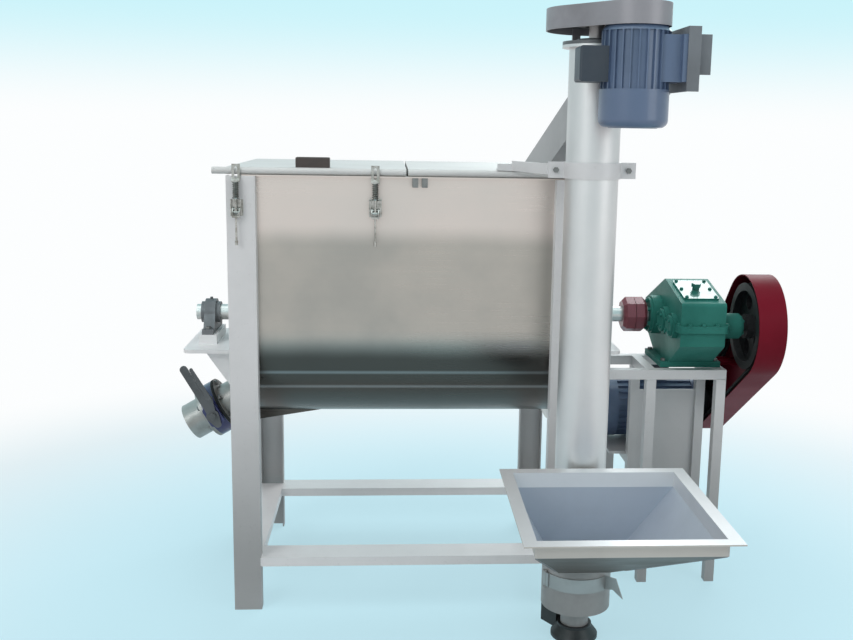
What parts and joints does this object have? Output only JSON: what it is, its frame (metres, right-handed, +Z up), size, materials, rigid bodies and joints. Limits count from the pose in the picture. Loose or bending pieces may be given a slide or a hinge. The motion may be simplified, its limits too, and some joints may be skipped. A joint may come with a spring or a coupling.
{
  "type": "ribbon blender",
  "caption": "Horizontal ribbon blender: a lidded U-trough with a double helical agitator, a belt and gear drive, a butterfly discharge valve and a screw feeder with a floor hopper.",
  "frame": {"origin": "on the floor, under the middle of the machine's bounding box", "axes": "+X along the mixing shaft towards the drive, +Y to the rear, +Z up"},
  "size_m": [2.0556, 1.7, 1.952],
  "materials": {
    "frame_paint": "silver-grey paint, satin",
    "stainless": "brushed stainless steel",
    "steel": "machined steel",
    "bearing_grey": "cast iron, grey",
    "latch_steel": "bright plated steel",
    "grip_dark": "dark brown, matte",
    "gearbox_green": "teal-green enamel, glossy",
    "coupling_red": "maroon enamel",
    "guard_red": "red enamel, glossy",
    "pulley_black": "black cast iron",
    "belt_rubber": "black rubber",
    "motor_blue": "slate-blue enamel",
    "box_dark": "dark grey enamel",
    "bracket_grey": "grey paint",
    "valve_blue": "blue enamel",
    "lever_grey": "dark grey paint",
    "seat_rubber": "black rubber",
    "foot_black": "black paint",
    "boot_beige": "beige-grey paint"
  },
  "bodies": {
    "frame": {"frame_legs": "frame_paint", "frame_rails": "frame_paint", "trough_shell": "stainless", "end_plates": "stainless", "cover_fixed": "stainless", "feed_chute": "frame_paint", "bearing_shelves": "frame_paint", "pillow_blocks": "bearing_grey", "shaft_seals": "steel", "discharge_pipe": "stainless", "valve_body": "valve_blue", "valve_seat": "seat_rubber", "outlet_spout": "stainless", "drive_stand": "frame_paint", "stand_panel": "frame_paint", "gearbox_lower_case": "gearbox_green", "gearbox_upper_case": "gearbox_green", "inspection_cover": "gearbox_green", "bearing_caps": "gearbox_green", "main_motor": "motor_blue", "main_motor_fan_cover": "motor_blue", "main_motor_terminal_box": "box_dark", "motor_base": "frame_paint", "belt_guard": "guard_red", "drive_belts": "belt_rubber", "auger_tube": "stainless", "auger_bearing": "bearing_grey", "tube_clamp": "frame_paint", "hopper": "stainless", "boot": "boot_beige", "feeder_foot": "foot_black", "auger_motor": "motor_blue", "auger_motor_fan_cover": "motor_blue", "auger_motor_terminal_box": "box_dark", "auger_motor_bracket": "bracket_grey", "top_belt_guard": "bracket_grey", "auger_belt": "belt_rubber", "latch_bases": "latch_steel", "lid_hinges": "steel", "fasteners": "steel"},
    "mixer": {"mixer_shaft": "steel", "outer_ribbons": "stainless", "inner_ribbons": "stainless", "coupling": "coupling_red", "output_shaft": "steel"},
    "input_drive": {"large_pulley": "pulley_black"},
    "motor_rotor": {"motor_pulley": "pulley_black"},
    "auger": {"auger_screw": "stainless", "auger_pulley": "pulley_black"},
    "auger_rotor": {"auger_motor_pulley": "pulley_black"},
    "lid": {"lid": "stainless", "lid_grip": "grip_dark"},
    "latch_lever_left": {"latch_lever_left": "latch_steel"},
    "latch_lever_right": {"latch_lever_right": "latch_steel"},
    "latch_hook_left": {"latch_hook_left": "latch_steel"},
    "latch_hook_right": {"latch_hook_right": "latch_steel"},
    "valve": {"valve_disc": "stainless", "valve_lever": "lever_grey"},
    "valve_trigger": {"valve_trigger": "lever_grey"},
    "cleanout": {"cleanout_cover": "stainless"}
  },
  "joints": [
    {"name": "mixer_spin", "type": "hinge", "parent": "frame", "child": "mixer", "pos_m": [-0.23024, 0.42, 0.947], "axis": [1, 0, 0], "continuous": true},
    {"name": "input_spin", "type": "hinge", "parent": "frame", "child": "input_drive", "pos_m": [0.96976, 0.2, 0.947], "axis": [1, 0, 0], "continuous": true},
    {"name": "motor_spin", "type": "hinge", "parent": "frame", "child": "motor_rotor", "pos_m": [0.96976, 0.668, 0.54], "axis": [1, 0, 0], "continuous": true},
    {"name": "auger_spin", "type": "hinge", "parent": "frame", "child": "auger", "pos_m": [0.31726, -0.164, 1], "axis": [0, 0, 1], "continuous": true},
    {"name": "auger_motor_spin", "type": "hinge", "parent": "frame", "child": "auger_rotor", "pos_m": [0.39026, -0.349, 1.94], "axis": [0, 0, 1], "continuous": true},
    {"name": "lid_hinge", "type": "hinge", "parent": "frame", "child": "lid", "pos_m": [-0.52024, 0.816, 1.4635], "axis": [-1, 0, 0], "range_deg": [0, 100]},
    {"name": "latch_left_lever", "type": "hinge", "parent": "frame", "child": "latch_lever_left", "pos_m": [-0.76274, 0.025, 1.345], "axis": [-1, 0, 0], "range_deg": [0, 95]},
    {"name": "latch_left_hook", "type": "hinge", "parent": "latch_lever_left", "child": "latch_hook_left", "pos_m": [-0.76274, 0.017, 1.33606], "axis": [-1, 0, 0], "range_deg": [-95, 0]},
    {"name": "latch_right_lever", "type": "hinge", "parent": "frame", "child": "latch_lever_right", "pos_m": [-0.33024, 0.025, 1.345], "axis": [-1, 0, 0], "range_deg": [0, 95]},
    {"name": "latch_right_hook", "type": "hinge", "parent": "latch_lever_right", "child": "latch_hook_right", "pos_m": [-0.33024, 0.017, 1.33606], "axis": [-1, 0, 0], "range_deg": [-95, 0]},
    {"name": "valve_turn", "type": "hinge", "parent": "frame", "child": "valve", "pos_m": [-0.89924, 0.42, 0.597], "axis": [0, 1, 0], "range_deg": [-90, 0]},
    {"name": "valve_trigger_squeeze", "type": "hinge", "parent": "valve", "child": "valve_trigger", "pos_m": [-0.90889, 0.306, 0.66071], "axis": [0, -1, 0], "range_deg": [0, 7], "stiffness_Nm_per_rad": 2, "springref_deg": -5.73},
    {"name": "cleanout_hinge", "type": "hinge", "parent": "frame", "child": "cleanout", "pos_m": [0.21054, -0.20712, 0.212], "axis": [0, 0, -1], "range_deg": [0, 100]}
  ],
  "couplings": [
    {"joint": "input_spin", "follows": "mixer_spin", "ratio": 10.35},
    {"joint": "motor_spin", "follows": "mixer_spin", "ratio": 22.831},
    {"joint": "auger_motor_spin", "follows": "auger_spin", "ratio": 2.6},
    {"joint": "latch_left_hook", "follows": "latch_left_lever", "ratio": -1},
    {"joint": "latch_right_hook", "follows": "latch_right_lever", "ratio": -1}
  ]
}
